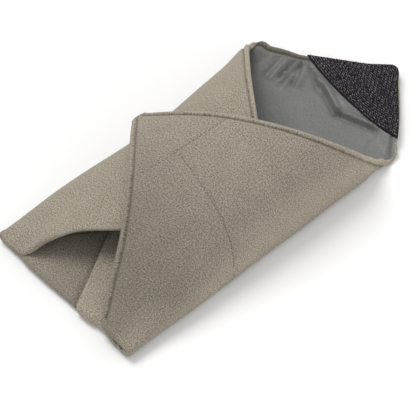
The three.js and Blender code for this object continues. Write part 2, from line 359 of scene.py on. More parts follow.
def arch_point(y, turn, arch_east_x, arch_west_x, crown):
    """A point of an arch on the two side folds; turn runs from 0 in the east to pi in the west."""
    middle = (EAST_X + west_x(y)) / 2
    across = np.cos(turn)
    x = middle + across * np.where(across > 0, arch_east_x - middle, middle - arch_west_x)
    shoulder = np.where(across > 0, EAST_SHOULDER, WEST_SHOULDER)
    climb = np.abs(np.sin(turn))
    foot = SIDE_RADIUS + (CROWN_SOUTH - SIDE_RADIUS) * climb**FOOT_SHOULDER
    z = foot + (crown - CROWN_SOUTH) * climb**shoulder
    return np.stack(np.broadcast_arrays(x, y, z), axis=-1)


def east_arch(y, share):
    lap = LAP * ease((y - SOUTH_Y - LAP_START) / LAP_RUN)
    point = arch_point(y, np.pi * share, EAST_X, west_x(y) - LAP, crown_height(y) + lap)
    point[..., 2] += EAST_TIP_LIFT * np.maximum(0, 2 * share - 1) ** 2
    return point


def west_arch(y, share):
    """The west corner, which swells up along its free south edge."""
    point = arch_point(y, np.pi * (1 - share), EAST_X - LAP, west_x(y), crown_height(y))
    x = point[..., 0]
    swell = bell(x - SWELL_X, SWELL_WIDTH) * grown(x, *SWELL_ACROSS) * grown(y, *SWELL_ALONG)
    point[..., 2] += WEST_SWELL * swell
    return point


def along_arch(arch, length, y):
    """The points that lie a length of cloth away from the side fold, along an arch."""
    shares = np.linspace(0, 1, ARCH_STEPS) ** 2
    path = arch(y[:, None], shares[None, :])
    steps = np.linalg.norm(np.diff(path, axis=1), axis=2)
    travelled = np.concatenate([np.zeros((len(y), 1)), np.cumsum(steps, axis=1)], axis=1)
    before = np.clip((travelled < length[:, None]).sum(axis=1) - 1, 0, ARCH_STEPS - 2)
    rows = np.arange(len(y))
    part = np.clip((length - travelled[rows, before]) / steps[rows, before], 0, 1)
    return arch(y, shares[before] + part * (shares[before + 1] - shares[before]))


def side_roll(length, edge_x, outward, y):
    """The lower half of a side fold, and the flat cloth that leads up to it; squarer near the mouth."""
    square = 1 - MOUTH_SQUARE * ease((y - NORTH_Y + SQUARE_FROM) / SQUARE_RUN)
    turn = np.clip((length + SIDE_ROLL) / SIDE_RADIUS, 0, np.pi / 2)
    flat = np.maximum(0, -SIDE_ROLL - length)
    x = edge_x - outward * (SIDE_RADIUS * (1 - np.sin(turn) ** square) + flat)
    z = SIDE_RADIUS * (1 - np.abs(np.cos(turn)) ** square)
    return np.stack([x, y, z], axis=-1)


def settle(point):
    """Lifts, presses and draws in the folds and the north corner's east edge, where they give way."""
    x, y, z = point.T
    beside = x - EAST_X + y - NORTH_Y
    lift = NORTH_EDGE_LIFT * ease(1 + beside / NORTH_EDGE_BAND) * grown(y, NORTH_Y, NORTH_EDGE_RUN)
    for (at_x, at_y), height, reach, top in LIFTS:
        away = np.hypot(x - at_x, y - at_y)
        lift += height * ease(1 - away / reach) * np.clip(1 - z / top, 0, 1)
    pressed = grown(x, *PRESS_ACROSS) * grown(y, *PRESS_ALONG)
    press = PRESS * pressed * np.clip((z - PRESS_FROM) / PRESS_RUN, 0, 1)
    waist = EAST_WAIST * hump(y, *WAIST_ALONG) * grown(x, *WAIST_ACROSS)
    return np.stack([x - waist, y, z + lift - press], axis=-1)


def side_surface(arch, edge, outward):
    """The outer face of the east or west corner, from the flat base round its fold and over the arch."""
    def surface(length, y):
        parts = np.array_split(np.arange(len(y)), len(y) // POINTS_AT_ONCE + 1)
        over = np.concatenate([along_arch(arch, np.maximum(length[ids], 0), y[ids]) for ids in parts])
        under = side_roll(np.minimum(length, 0), edge(y), outward, y)
        return settle(np.where(length[:, None] < 0, under, over))
    return surface


def south_surface(length, x):
    """The outer face of the south corner, thinner at the ends of its fold."""
    ends = np.maximum(grown(x, *THIN_EAST), grown(x, *THIN_WEST))
    radius = SOUTH_RADIUS + (DOUBLE_END / 2 - SOUTH_RADIUS) * ends
    quarter = radius * np.pi / 2
    turn = np.clip(length, -quarter, quarter) / radius
    run = np.maximum(0, np.abs(length) - quarter)
    tucked_east = grown(x, *TUCK_EAST) * grown(x, *TUCK_EAST_END)
    tucked = np.maximum(tucked_east, TUCK_WEST_SHARE * grown(x, *TUCK_WEST))
    retreat = SOUTH_RETREAT * tucked * grown(length, SOUTH_ROOT, SOUTH_EASE)
    y = SOUTH_EDGE + radius * (1 - np.cos(turn)) + run + retreat
    rise = SOUTH_TIP_RISE * (run / SOUTH_REACH) ** 2 * (length > 0)
    crease_x = CREASE_FOLD_X + (CREASE_TIP_X - CREASE_FOLD_X) * length / CREASE_LENGTH
    sunk = ease(1 + (x - crease_x) / CREASE_BAND) * ease((crease_x - x) / CREASE_EDGE + 1)
    rise = rise - CREASE_SINK * sunk * ease(length / SOUTH_EASE)
    z = radius * (1 + np.sin(turn)) + rise
    return np.stack([x, y, z], axis=-1)


def floor_surface(length, x):
    """The outer face of the base and the north corner: flat, and rolled up at the side folds."""
    y = NORTH_Y + length
    flat = np.stack([x, y, np.zeros_like(x)], axis=-1)
    east = side_roll(x - EAST_X + SIDE_RADIUS - SIDE_ROLL, EAST_X, 1, y)
    west = side_roll(west_x(y) + SIDE_RADIUS - SIDE_ROLL - x, west_x(y), -1, y)
    flat = np.where((x > EAST_X - SIDE_RADIUS)[:, None], east, flat)
    return settle(np.where((x < west_x(y) + SIDE_RADIUS)[:, None], west, flat))


EAST_SIDE = EAST_X - SIDE_RADIUS - EAST_MARGIN
EAST_ROOT = -SIDE_ROLL - EAST_MARGIN
WEST_ROOT = -SIDE_ROLL - WEST_MARGIN
SOUTH_ROOT = -SOUTH_RADIUS * math.pi / 2 - EAST_MARGIN
BASE_ROOT = SOUTH_EDGE + SOUTH_RADIUS + EAST_MARGIN - NORTH_Y

# Each corner's edges: a level at the fold, a slope, and a bow that leans to the fold or to the tip
STRAIGHT_LOW = {"low_bow": 0, "low_lean": (2, 2), "low_soft": 0, "mouth_at": None}
corners = {
    "east": SimpleNamespace(
        side=1, surface=side_surface(east_arch, east_x, 1), root=EAST_ROOT, tip_radius=2.0,
        high=101, high_slope=0.605, high_bow=-13.7, high_lean=(1.95, 0.85),
        mouth_at=NORTH_EAST_X - EAST_X + SIDE_RADIUS - SIDE_ROLL,
        low=SOUTH_EDGE - EAST_PAST_SOUTH, low_slope=0.817, low_start=28.6,
        low_bow=9, low_lean=(0.8, 0.85), low_soft=0,
    ),
    "west": SimpleNamespace(
        side=-1, surface=side_surface(west_arch, west_x, -1), root=WEST_ROOT, tip_radius=3.6,
        high=100.2, high_slope=0.64, high_bow=5.6, high_lean=(1, 3),
        mouth_at=west_x(NORTH_Y) + SIDE_RADIUS - SIDE_ROLL - NORTH_WEST_X,
        low=SOUTH_EDGE + WEST_SHORT_OF_SOUTH, low_slope=0.8, low_start=24.3,
        low_bow=9.2, low_lean=(0.8, 1.6), low_soft=0.92,
    ),
    "south": SimpleNamespace(
        side=1, surface=south_surface, root=SOUTH_ROOT, tip_radius=3.6,
        high=EAST_SIDE, high_slope=EAST_SIDE / SOUTH_REACH, high_bow=0, high_lean=(2, 2),
        low=SOUTH_WEST_X, low_slope=-SOUTH_WEST_X / (SOUTH_REACH - SOUTH_START), low_start=SOUTH_START,
        **STRAIGHT_LOW,
    ),
    "north": SimpleNamespace(
        side=-1, surface=floor_surface, root=BASE_ROOT, tip_radius=5.6,
        high=NORTH_EAST_X, high_slope=(NORTH_EAST_X - NORTH_TIP_X) / NORTH_REACH,
        high_bow=3.7, high_lean=(1, 1.5),
        low=NORTH_WEST_X, low_slope=(NORTH_TIP_X - NORTH_WEST_X) / NORTH_REACH, low_start=0,
        **STRAIGHT_LOW,
    ),
}


def tip_round(corner, radius=CORNER_RADIUS):
    """The centre of a round at a corner's tip, and how much longer its edges are than their run."""
    high_long = math.hypot(1, corner.high_slope)
    low_long = math.hypot(1, corner.low_slope)
    width = corner.high - corner.low + corner.low_slope * corner.low_start
    slopes = corner.high_slope + corner.low_slope
    centre = (width - radius * (high_long + low_long)) / slopes
    level = corner.high - corner.high_slope * centre - radius * high_long
    return centre, level, high_long, low_long


# Where the tape's long side crosses each corner, measured from its fold, and where it bows and leans
tape_start = {"east": 98, "west": 101, "south": 30, "north": 14.9}
tape_curves = {"north": (3.3, 1.6)}


# The cloth cut flat, as a grid that follows its edges

def bow(x, lean):
    """A bow along an edge, 1 at its peak, that rises and falls with the two powers of its lean."""
    rise, fall = lean
    peak = rise / (rise + fall)
    p = np.clip(x, 0, 1)
    return (p / peak) ** rise * ((1 - p) / (1 - peak)) ** fall


def edge_levels(corner, length):
    """The two edges of a corner, before its tip is rounded."""
    centre = tip_round(corner)[0]
    out = np.maximum(length, 0)
    high_bow = corner.high_bow * bow(out / centre, corner.high_lean)
    run = length - corner.low_start
    low_bow = corner.low_bow * bow(run / (centre - corner.low_start), corner.low_lean)
    high = corner.high - corner.high_slope * out + high_bow
    return high, corner.low + corner.low_slope * run + low_bow


def blended(first, second, share):
    """Flat ways out to the edge that turn from one to another."""
    share = np.reshape(share, (-1, 1))
    way = np.array(first) * (1 - share) + np.array(second) * share
    long = np.linalg.norm(first) * (1 - share) + np.linalg.norm(second) * share
    return unit(way) * long


def flat_panel(corner):
    """Rows of flat points, all at least a corner radius inside the edges, and the way out to them."""
    centre, _, high_long, low_long = tip_round(corner)
    high_square = np.array([corner.high_slope, 1]) / high_long
    low_square = np.array([corner.low_slope, -1]) / low_long
    rows = int((centre - corner.root) / STEP)
    lengths = np.linspace(corner.root, centre, rows)
    first = 0
    if corner is corners["north"]:
        first = int(-corner.root / STEP)
        base_rows = np.linspace(corner.root, 0, first + 1)
        lengths = np.concatenate([base_rows, np.linspace(0, centre, NORTH_ROWS)[1:]])
    high, low_line = edge_levels(corner, lengths)
    high_inner = high - CORNER_RADIUS * high_long
    low_inner = low_line + CORNER_RADIUS * low_long
    end = np.zeros_like(lengths)
    if corner is corners["north"]:
        reach_high = (0, (corner.high - high_inner[first]) / CORNER_RADIUS)
        reach_low = (0, (corner.low - low_inner[first]) / CORNER_RADIUS)
        near = ease((lengths + FOLD_NEAR) / FOLD_NEAR)
        west_side = west_x(NORTH_Y + lengths) + SIDE_RADIUS + WEST_MARGIN
        high_inner = np.where(lengths < 0, EAST_SIDE + (high_inner[first] - EAST_SIDE) * near, high_inner)
        low_inner = np.where(lengths < 0, west_side + (low_inner[first] - west_side) * near, low_inner)
        high_out = blended(reach_high, high_square, ease(lengths / FOLD_TURN))
        low_out = blended(reach_low, low_square, ease(lengths / FOLD_TURN))
    else:
        bend = corner.low_start + CORNER_RADIUS * (1 - low_long) / corner.low_slope
        end = 1 - ease((lengths - bend + BEND_SOFT) / (2 * BEND_SOFT))
        low_inner = np.maximum(low_inner, corner.low + CORNER_RADIUS)
        low_out = blended((0, -1), low_square, 1 - end)
        if corner.mouth_at is None:
            slanted = ease((lengths + BEND_SOFT) / (2 * BEND_SOFT))
            high_inner = high - CORNER_RADIUS * (1 + (high_long - 1) * slanted)
            high_out = blended((0, 1), high_square, slanted)
        else:
            root_share = np.clip(lengths / corner.root, 0, 1)
            high_inner = high_inner + (NORTH_Y - high_inner) * root_share
            reach = ((corner.mouth_at - corner.root) / CORNER_RADIUS, 0)
            turned_out = grown(lengths, corner.root, MOUTH_TURN - corner.root)
            high_out = blended(reach, high_square, turned_out)
    high_inner[-1] = low_inner[-1] = (high_inner[-1] + low_inner[-1]) / 2
    return lengths, (high_inner, high_out), (low_inner, low_out), end, first


def tip_reach(corner, high_way, low_way):
    """The ways from a corner's inner point out to its rounded tip, for a unit of inset."""
    spread = (high_way + low_way) / (1 + high_way @ low_way)
    share = corner.tip_radius / CORNER_RADIUS
    middle = spread * (1 - share)
    arc_angles = np.linspace(0, 1, TIP_FAN)
    turns = blended(high_way, low_way, arc_angles)
    arc = [middle + share * way for way in turns]
    onto = [high_way + (arc[0] - high_way) * k / 3 for k in (1, 2)]
    off = [arc[-1] + (low_way - arc[-1]) * k / 3 for k in (1, 2)]
    return onto + arc + off


def grid_faces(rows):
    """The faces of a net, from its rows of points."""
    faces = []
    for upper, lower in zip(rows, rows[1:]):
        faces += [(upper[k], lower[k], lower[k + 1], upper[k + 1]) for k in range(len(upper) - 1)]
    return faces


def strip(near, far):
    """The faces between two rows of points, turned the other way."""
    return [(near[k], near[k + 1], far[k + 1], far[k]) for k in range(len(near) - 1)]


def flat_cloth(corner):
    """The corner's cloth as a flat net: its points, how far in from the edge they lie, and its faces."""
    lengths, (high, high_out), (low, low_out), end, first = flat_panel(corner)
    columns = int((high - low).max() / STEP)
    shares = np.linspace(0, 1, columns)
    points, panel = [], []
    for i, length in enumerate(lengths):
        last = i == len(lengths) - 1
        row = []
        for share in shares[:1] if last else shares:
            row.append(len(points))
            points.append((length, low[i] + (high[i] - low[i]) * share))
        panel.append(row * columns if last else row)
    inset = [CORNER_RADIUS] * len(points)
    lining_side = [0] * len(points)
    fold_end = [0.0] * len(points)
    ways = [(0.0, 0.0)] * len(points)

    soft = corner.low_soft
    rim = [(panel[i][-1], high_out[i], 0.0) for i in range(first, len(lengths))]
    high_count = len(rim)
    rim += [(panel[-1][0], way, 0.0) for way in tip_reach(corner, high_out[-1], low_out[-1])]
    rim += [(panel[i][0], low_out[i], max(end[i], soft)) for i in range(len(lengths) - 1, first - 1, -1)]
    bands = [[start for start, _, _ in rim]]
    stations = [(d, 0) for d in OUTER_STATIONS] + [(d, 1) for d in INNER_STATIONS]
    for d, inner in stations:
        band = []
        for start, outward, ending in rim:
            band.append(len(points))
            points.append(tuple(np.array(points[start]) + (CORNER_RADIUS - d) * outward))
            inset.append(d)
            lining_side.append(inner)
            fold_end.append(ending)
            ways.append(tuple(outward / np.linalg.norm(outward)))
        bands.append(band)

    return SimpleNamespace(
        flat=np.array(points), inset=np.array(inset), lining_side=np.array(lining_side),
        fold_end=np.array(fold_end), ways=np.array(ways), bands=bands,
        panel_faces=grid_faces(panel), band_faces=[strip(*pair) for pair in zip(bands, bands[1:])],
        high_count=high_count,
    )


# Depths below the outer face, across the cloth

def segment_distance(flat, start, end):
    """Distance from a seam's line, how far along it, and which side of it, on the flat cloth."""
    start = np.array(start, float)
    along = np.array(end, float) - start
    size = np.linalg.norm(along)
    run = (flat - start) @ along / size
    across = (flat - start) @ np.array([-along[1], along[0]]) / size
    past = run - np.clip(run, 0, size)
    return np.hypot(across, past), run / size, across


def seam_dent(flat, start, end, depth, width, deep_end=None):
    """A sewn line: a soft groove, pinched at each stitch."""
    distance, share, _ = segment_distance(flat, start, end)
    size = math.dist(start, end)
    deep = depth + ((depth if deep_end is None else deep_end) - depth) * np.clip(share, 0, 1)
    pinch = 1 - PINCH + PINCH * np.cos(2 * np.pi * share * size / STITCH_PITCH)
    return deep * pinch * bell(distance, width)


def soft_waves(flat, reach, height):
    """Slow unevenness of soft cloth."""
    a, b = flat.T / reach
    waves = (share * np.sin(along * a + across * b + shift) for share, along, across, shift in WAVES)
    return height * sum(waves)


def south_crease(flat):
    """How far a place lies to the one or the other side of the south corner's crease."""
    return segment_distance(flat, *CREASE_LINE)[2]


def crease_dent(flat):
    across = south_crease(flat)
    raised = ease(across / CREASE_STEP + CREASE_SHIFT) * np.exp(-np.maximum(across, 0) / RAISED_RUN)
    sunk = ease(1 + across / SUNK_BAND) * ease(0.5 - across / CREASE_STEP)
    groove = CREASE_GROOVE * bell(across - CREASE_GROOVE_AT, CREASE_GROOVE_WIDTH)
    return (sunk - CREASE_RAISED * raised + groove) * grown(flat[:, 0], *CREASE_FADE)


def dents(name, flat):
    """How far the outer face sinks at its seams and its crease, and where the soft cloth is uneven."""
    dent = soft_waves(flat, *SOFTNESS[name])
    for groove in GROOVES.get(name, ()):
        dent += seam_dent(flat, *groove)
    return dent + crease_dent(flat) if name == "south" else dent


def painted_light_and_edge_tone(name, flat, inset, fold_end):
    """Painted light and shade in the fleece's colour: a painted highlight on the rolled edges, painted
    shade in the grooves, behind the south crease and on the east corner, painted light near the east fold,
    and darker edges near the mouth.
    """
    # A painted highlight on the roll and painted shade in the groove, left off where the edge is folded
    # double
    roll = 1 - grown(inset, *ROLL_HIGHLIGHT_SPAN)
    groove = bell(inset - GROOVE_AT, GROOVE_SHADE_WIDTH)
    tone = 1 + (ROLL_HIGHLIGHT * roll - GROOVE_SHADE * groove) * (1 - fold_end)
    measures = {"inset": inset, "length": flat[:, 0], "level": flat[:, 1]}
    # Painted shade and light on the east corner, and darker edges on the west and north
    for share, *spans in PAINTED_LIGHT_AND_EDGE_DARKS.get(name, ()):
        tone *= 1 + share * math.prod(grown(measures[key], start, run) for key, start, run in spans)
    if name == "south":
        # Painted shadow of the west corner on the south corner behind its crease, darkest along the
        # crease, and painted light on the raised side
        across = south_crease(flat)
        darker = BEHIND_CREASE_SHADE + sum(share * np.exp(across / fade) for share, fade in BEHIND_SHADE_FADES)
        tone *= SOUTH_PAINTED_LIGHT - ease(0.5 - across / BEHIND_CREASE) * darker
    return tone


def fold_line(flat, start, end, height, width):
    """A crease in the lining: a valley with a ridge beside it, dying away at both ends."""
    distance, share, across = segment_distance(flat, start, end)
    from_start = ease(share * CREASE_ENDS + CREASE_END_SHARE)
    fade = from_start * ease((1 - share) * CREASE_ENDS + CREASE_END_SHARE)
    ridge = bell(across - RIDGE_AT * width, RIDGE_WIDTH * width)
    return height * fade * (ridge - bell(across, width)) * bell(distance, CREASE_REACH * width)


def puckers(name, flat):
    """The lining's unevenness; in front of the mouth it is gathered towards the tape's west corner."""
    if name != "north":
        return soft_waves(flat, *LINING_SOFTNESS)
    puff = sum(fold_line(flat, *crease) for crease in LINING_CREASES)
    puff -= LINING_SEAM_DEPTH * bell(segment_distance(flat, *LINING_SEAM)[0], LINING_SEAM_WIDTH)
    along = np.clip((flat[:, 1] - TAPE_MIDDLE) / TAPE_HALF, -1, 1)
    inside = ease((tape_start[name] - tape_curves[name][0] * (1 - along**2) - flat[:, 0]) / TAPE_CLEAR)
    return (puff + soft_waves(flat, *NORTH_LINING_SOFTNESS)) * inside


def edge_depth(inset, fold_end, thick, cut):
    """Depth of the outer face near the edge: a roll behind a sewn groove, or a plain round fold."""
    roll = QUILT / 2 - np.sqrt(np.maximum(0, ROLL**2 - (inset - ROLL) ** 2))
    shoulder = GROOVE * (1 - ease((inset - GROOVE_AT) / (SHOULDER_END - GROOVE_AT)))
    welt = np.where(inset < GROOVE_AT - ROLL_OVERLAP, roll, shoulder)
    half = thick / 2
    turned = half - np.sqrt(np.maximum(0, half**2 - np.maximum(0, half - inset) ** 2))
    return (welt * (1 - fold_end) + turned * fold_end) * (1 - cut)


def outer_face(corner, flat):
    return corner.surface(*flat.T)


def inward(corner, flat):
    """The direction square to the outer face, towards the lining."""
    out = outer_face(corner, flat + (PROBE_STEP, 0)) - outer_face(corner, flat - (PROBE_STEP, 0))
    along = outer_face(corner, flat + (0, PROBE_STEP)) - outer_face(corner, flat - (0, PROBE_STEP))
    return unit(np.cross(out, along) * corner.side)


def cloth_layers(name, cloth):
    """The faces of one corner's quilt: outer skin, hidden back, lining's face and lining's back."""
    corner = corners[name]
    flat = cloth.flat
    point = outer_face(corner, flat)
    normal = inward(corner, flat)
    thick = np.full(len(flat), QUILT)
    if name in ("east", "west"):
        thick += (DOUBLE_END - QUILT) * ease((SOUTH_Y + DOUBLE_FROM - flat[:, 1]) / DOUBLE_RUN)
    cut = ease(-flat[:, 0] / CUT_RUN) if name == "south" else np.zeros(len(flat))
    edge = edge_depth(cloth.inset, cloth.fold_end, thick, cut)
    calm = ease((cloth.inset - GROOVE_AT) / (CORNER_RADIUS - GROOVE_AT))
    outer = edge + dents(name, flat) * calm
    inner = thick - edge + puckers(name, flat) * calm
    skin = np.where(cloth.lining_side == 1, inner, outer)
    over_roll = LINING_COVER * ease((GROOVE_AT + COVER_EASE - cloth.inset) / (2 * COVER_EASE))
    depths = {"skin": skin, "back": inner - BACKING, "face": inner + over_roll, "under": inner - LINING}
    layers = {key: point + normal * depth[:, None] for key, depth in depths.items()}
    tone = painted_light_and_edge_tone(name, flat, cloth.inset, cloth.fold_end)
    return SimpleNamespace(**layers, normal=normal, depth=skin, tone=tone)


# Meshes

def add_object(name, data):
    """Puts a mesh, a light or a camera into the scene."""
    item = bpy.data.objects.new(name, data)
    bpy.context.scene.collection.objects.link(item)
    return item


def distinct(face):
    """A face's points, without one that comes twice in a row."""
    return [v for k, v in enumerate(face) if v != face[k - 1]]


def add_mesh(name, points, faces, material, uv, tone=None):
    mesh = bpy.data.meshes.new(name)
    clean = [ids for ids in map(distinct, faces) if len(set(ids)) > 2]
    mesh.from_pydata((np.asarray(points) * MM).tolist(), [], clean)
    layer = mesh.uv_layers.new(name="cloth")
    ids = np.zeros(len(mesh.loops), int)
    mesh.loops.foreach_get("vertex_index", ids)
    layer.data.foreach_set("uv", (np.asarray(uv)[ids] * MM).astype(np.float32).ravel())
    # The tone attribute holds the fleece's painted light and shade
    if tone is not None:
        mesh.attributes.new("tone", "FLOAT", "POINT").data.foreach_set("value", tone.astype(np.float32))
    mesh.validate()
    mesh.polygons.foreach_set("use_smooth", [True] * len(mesh.polygons))
    mesh.set_sharp_from_angle(angle=math.radians(SHARP_ANGLE))
    mesh.materials.append(material)
    return add_object(name, mesh)


def open_edges(faces):
    """The edges that only one face uses, in that face's direction."""
    seen = {}
    for face in faces:
        ids = distinct(face)
        for k, v in enumerate(ids):
            edge = (ids[k - 1], v)
            if edge[::-1] in seen:
                del seen[edge[::-1]]
            else:
                seen[edge] = True
    return list(seen)


def closed_sheet(top, count):
    """The faces of a thin sheet: its top, its underside, a count of points further on, and its rim."""
    under = [tuple(v + count for v in reversed(face)) for face in top]
    return top + under + [(b, a, a + count, b + count) for a, b in open_edges(top)]


def turned(faces, side):
    """Faces of the outer skin, facing out."""
    return [tuple(reversed(face)) for face in faces] if side > 0 else faces


def cloth_uv(name, flat):
    """Places on the unfolded square, so that the nap and weave run on from piece to piece."""
    length, level = flat.T
    x, y = level, NORTH_Y + length
    if name == "east":
        x, y = EAST_X - SIDE_RADIUS + SIDE_ROLL + length, level
    if name == "west":
        x, y = west_x(level) + SIDE_RADIUS - SIDE_ROLL - length, level
    if name == "south":
        y = SOUTH_Y + SOUTH_RADIUS * (1 - math.pi / 2) - length
    return np.stack([x, y], axis=1)


def used(faces, *columns):
    """Leaves out the points that no face uses, from each column of values."""
    ids = np.unique(np.concatenate([np.array(face) for face in faces]))
    new = np.full(len(columns[0]), -1)
    new[ids] = np.arange(len(ids))
    return [tuple(int(new[v]) for v in face) for face in faces], *(column[ids] for column in columns)


def add_fleece(name, cloth, layers, material):
    """The fleece with its backing: the skin, rolled round the edge, closed by a back under the lining."""
    side = corners[name].side
    count = len(cloth.flat)
    outer = cloth.panel_faces + sum(cloth.band_faces, [])
    kept = cloth.panel_faces + sum(cloth.band_faces[:BACK_STATIONS], [])
    faces = turned(outer, side) + [tuple(v + count for v in face) for face in turned(kept, -side)]
    rim, back_rim = cloth.bands[-1], [v + count for v in cloth.bands[BACK_STATIONS]]
    faces += turned(strip(rim, back_rim), side)
    edge = {frozenset(pair) for pair in zip(back_rim, back_rim[1:])}
    for a, b in open_edges(turned(kept, side)):
        if frozenset((a + count, b + count)) not in edge:
            faces.append((b, a, a + count, b + count))
    for end, flip in ((0, False), (-1, True)):
        cap = [band[end] for band in cloth.bands[BACK_STATIONS:]] + [back_rim[end]]
        faces.append(tuple(cap) if flip == (side > 0) else tuple(reversed(cap)))
    points = np.concatenate([layers.skin, layers.back])
    round_edge = cloth.flat + cloth.ways * layers.depth[:, None]
    uv = np.tile(cloth_uv(name, round_edge), (2, 1))
    tone = np.tile(layers.tone, 2)
    faces, points, uv, tone = used(faces, points, uv, tone)
    return add_mesh(f"{name}_fleece_cloth", points, faces, material, uv, tone)


def lining_faces(name, cloth):
    """The faces of the flat cloth that the lining covers."""
    last = OVER_ROLL_STEPS.get(name, GROOVE_STEPS)
    over = [band[:cloth.high_count] for band in cloth.band_faces[GROOVE_STEPS:last]]
    return cloth.panel_faces + sum(cloth.band_faces[:GROOVE_STEPS] + over, [])


def add_lining(name, cloth, layers, material):
    """The lining: a thin sheet from groove to groove, or over the roll of an edge that it covers."""
    top = turned(lining_faces(name, cloth), -corners[name].side)
    points = np.concatenate([layers.face, layers.under])
    uv = np.tile(cloth_uv(name, cloth.flat), (2, 1))
    faces, points, uv = used(closed_sheet(top, len(cloth.flat)), points, uv)
    return add_mesh(f"{name}_lining_cloth", points, faces, material, uv)


# Hook tape: a triangle on the lining, covered in small bent hooks

def tape_levels(corner, length):
    """The tape's two slanted sides, a margin inside the cloth's edges and round the tip with them."""
    centre, level, high_long, low_long = tip_round(corner, corner.tip_radius)
    radius = corner.tip_radius - TAPE_MARGIN
    high, low = edge_levels(corner, length)
    past = length - centre
    arc = np.sqrt(np.maximum(0, radius**2 - past**2))
    high_past = past > radius * corner.high_slope / high_long
    low_past = past > radius * corner.low_slope / low_long
    high = np.where(high_past, level + arc, high - TAPE_MARGIN * high_long)
    low = np.where(low_past, level - arc, low + TAPE_MARGIN * low_long)
    return high, low


def tape_curve(name, flat):
    """The tape's long side bows and leans towards the fold, and the rest of it follows less and less."""
    corner = corners[name]
    high, low = tape_levels(corner, flat[:, 0])
    across = 2 * (flat[:, 1] - low) / np.maximum(high - low, TAPE_NARROWEST) - 1
    end = tip_round(corner, corner.tip_radius)[0]
    near = np.clip((end - flat[:, 0]) / (end - tape_start[name]), 0, 1) ** TAPE_FOLLOW
    bowed, leaning = tape_curves.get(name, (0, 0))
    length = flat[:, 0] - (bowed * (1 - across**2) + leaning * across) * near
    high, low = tape_levels(corner, length)
    return np.stack([length, low + (high - low) * (across + 1) / 2], axis=1)


def on_lining(name, flat, depth):
    corner = corners[name]
    return outer_face(corner, flat) + inward(corner, flat) * np.reshape(depth, (-1, 1))


def add_tape(name, material):
    corner = corners[name]
    centre, _, high_long, low_long = tip_round(corner, corner.tip_radius)
    start, end = tape_start[name], centre + corner.tip_radius - TAPE_MARGIN
    rows = int((end - start) / STEP)
    columns = int(np.subtract(*tape_levels(corner, np.array([start]))).item() / STEP)
    lengths = start + (end - start) * np.sin(np.linspace(0, TAPE_TIP_SHARE * np.pi / 2, rows))
    lengths = np.concatenate([[start], start + np.array(TAPE_FIRST_ROWS), lengths[1:]])
    shares = (1 - np.cos(np.linspace(0, np.pi, columns))) / 2
    high, low = tape_levels(corner, lengths)
    level = low[:, None] + (high - low)[:, None] * shares
    flat = np.stack([np.repeat(lengths, columns), level.ravel()], axis=1)
    inset = np.minimum((high[:, None] - level) / high_long, (level - low[:, None]) / low_long)
    inset = np.minimum(inset, np.minimum(lengths - start, end - lengths)[:, None]).ravel()
    flat = tape_curve(name, flat)
    rounding = TAPE_ROUND - np.sqrt(TAPE_ROUND**2 - np.clip(TAPE_ROUND - inset, 0, TAPE_ROUND) ** 2)
    face = on_lining(name, flat, TAPE_FACE + TAPE_THICK - rounding)
    under = on_lining(name, flat, TAPE_FACE)
    ids = np.arange(len(flat)).reshape(len(lengths), columns).tolist()
    top = turned(grid_faces(ids), -corner.side)
    faces = closed_sheet(top, len(flat))
    uv = np.tile(cloth_uv(name, flat), (2, 1))
    return add_mesh(f"{name}_hook_tape_base", np.concatenate([face, under]), faces, material, uv)


def tube_faces(count, rings, sides):
    """The faces of closed tubes, each with a number of rings and a number of sides."""
    faces = []
    for base in range(0, count * rings * sides, rings * sides):
        for ring in range(rings - 1):
            for k in range(sides):
                a = base + ring * sides + k
                b = base + ring * sides + (k + 1) % sides
                faces.append((a, b, b + sides, a + sides))
        faces.append(tuple(base + k for k in reversed(range(sides))))
        faces.append(tuple(base + (rings - 1) * sides + k for k in range(sides)))
    return faces


def add_hooks(name, material):
    """Bent hooks in staggered rows, each leaning a little its own way."""
    corner = corners[name]
    centre, _, high_long, low_long = tip_round(corner, corner.tip_radius)
    start = tape_start[name] + HOOK_INSET
    end = centre + corner.tip_radius - TAPE_MARGIN - HOOK_INSET
    rows = np.arange(start, end, HOOK_ROW)
    draw = np.random.default_rng(HOOK_SEED)
    spots = []
    for i, length in enumerate(rows):
        high, low = tape_levels(corner, np.array([length]))
        first = low[0] + HOOK_INSET * low_long + (i % HOOK_STAGGER) * HOOK_PITCH / HOOK_STAGGER
        for level in np.arange(first, high[0] - HOOK_INSET * high_long, HOOK_PITCH):
            spots.append((length, level))
    flat = tape_curve(name, np.array(spots) + draw.uniform(-HOOK_JITTER, HOOK_JITTER, (len(spots), 2)))
    foot = on_lining(name, flat, TAPE_FACE + TAPE_THICK - HOOK_SINK)
    up = inward(corner, flat)
    lean = unit(np.cross(up, np.array([0.0, 1.0, 0.0])))
    across = np.cross(up, lean)
    back_to_back = np.where(np.arange(len(flat)) % 2 == 0, 0, np.pi)
    turn = draw.uniform(-HOOK_TURN, HOOK_TURN, len(flat)) + back_to_back
    ahead = lean * np.cos(turn)[:, None] + across * np.sin(turn)[:, None]
    sideways = np.cross(up, ahead)
    tall = HOOK_HEIGHT * draw.uniform(*HOOK_TALL, len(flat))
    points = []
    for rise, reach, thick, tilt in HOOK_PROFILE:
        for k in range(HOOK_SIDES):
            angle = 2 * np.pi * k / HOOK_SIDES
            round_up = np.cos(angle) * thick * HOOK_RADIUS
            beside = np.sin(angle) * thick * HOOK_RADIUS
            ring = ahead * (reach * HOOK_HEIGHT + round_up * math.cos(tilt))
            ring = ring + up * (rise * tall - round_up * math.sin(tilt))[:, None] + sideways * beside
            points.append(foot + ring)
    points = np.stack(points, axis=1).reshape(-1, 3)
    faces = tube_faces(len(flat), len(HOOK_PROFILE), HOOK_SIDES)
    uv = np.repeat(cloth_uv(name, flat), len(HOOK_PROFILE) * HOOK_SIDES, axis=0)
    return add_mesh(f"{name}_hooks", points, faces, material, uv)


# Stitches: short rounded threads, one after another along a seam

